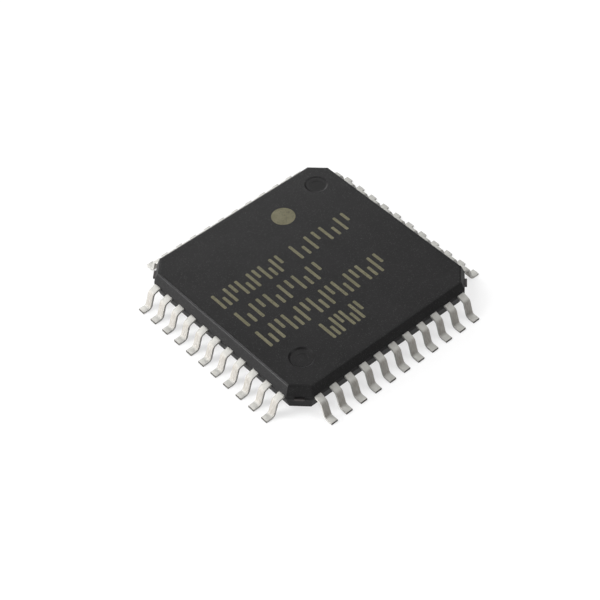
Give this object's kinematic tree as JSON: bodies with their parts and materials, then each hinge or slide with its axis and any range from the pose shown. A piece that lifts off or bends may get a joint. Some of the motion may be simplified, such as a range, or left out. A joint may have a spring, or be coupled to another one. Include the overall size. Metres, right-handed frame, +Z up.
{
  "type": "microcontroller chip",
  "caption": "Square black moulded chip package with gull-wing leads along all four sides and an index dimple in one corner, with its lead frame, die and bond wires inside.",
  "frame": {"origin": "on the board surface, under the middle of the body", "axes": "+Z up, away from the board; +X along the front row of leads, away from the index corner; +Y from the front row to the back row"},
  "size_m": [0.012, 0.012, 0.0014],
  "materials": {
    "mold_compound": "matte, finely grained",
    "tinned_lead": "satin tin plating",
    "copper_sheet": "rolled copper alloy",
    "silver_epoxy": "silver-filled epoxy",
    "silicon": "polished",
    "gold_wire": "drawn wire"
  },
  "bodies": {
    "root": {"mold_body": "mold_compound", "die_paddle": "copper_sheet", "die_attach": "silver_epoxy", "silicon_die": "silicon", "bond_wires_front": "gold_wire", "bond_wires_right": "gold_wire", "bond_wires_back": "gold_wire", "bond_wires_left": "gold_wire", "lead_01": "tinned_lead", "lead_02": "tinned_lead", "lead_03": "tinned_lead", "lead_04": "tinned_lead", "lead_05": "tinned_lead", "lead_06": "tinned_lead", "lead_07": "tinned_lead", "lead_08": "tinned_lead", "lead_09": "tinned_lead", "lead_10": "tinned_lead", "lead_11": "tinned_lead", "lead_12": "tinned_lead", "lead_13": "tinned_lead", "lead_14": "tinned_lead", "lead_15": "tinned_lead", "lead_16": "tinned_lead", "lead_17": "tinned_lead", "lead_18": "tinned_lead", "lead_19": "tinned_lead", "lead_20": "tinned_lead", "lead_21": "tinned_lead", "lead_22": "tinned_lead", "lead_23": "tinned_lead", "lead_24": "tinned_lead", "lead_25": "tinned_lead", "lead_26": "tinned_lead", "lead_27": "tinned_lead", "lead_28": "tinned_lead", "lead_29": "tinned_lead", "lead_30": "tinned_lead", "lead_31": "tinned_lead", "lead_32": "tinned_lead", "lead_33": "tinned_lead", "lead_34": "tinned_lead", "lead_35": "tinned_lead", "lead_36": "tinned_lead", "lead_37": "tinned_lead", "lead_38": "tinned_lead", "lead_39": "tinned_lead", "lead_40": "tinned_lead", "lead_41": "tinned_lead", "lead_42": "tinned_lead", "lead_43": "tinned_lead", "lead_44": "tinned_lead"}
  },
  "joints": []
}
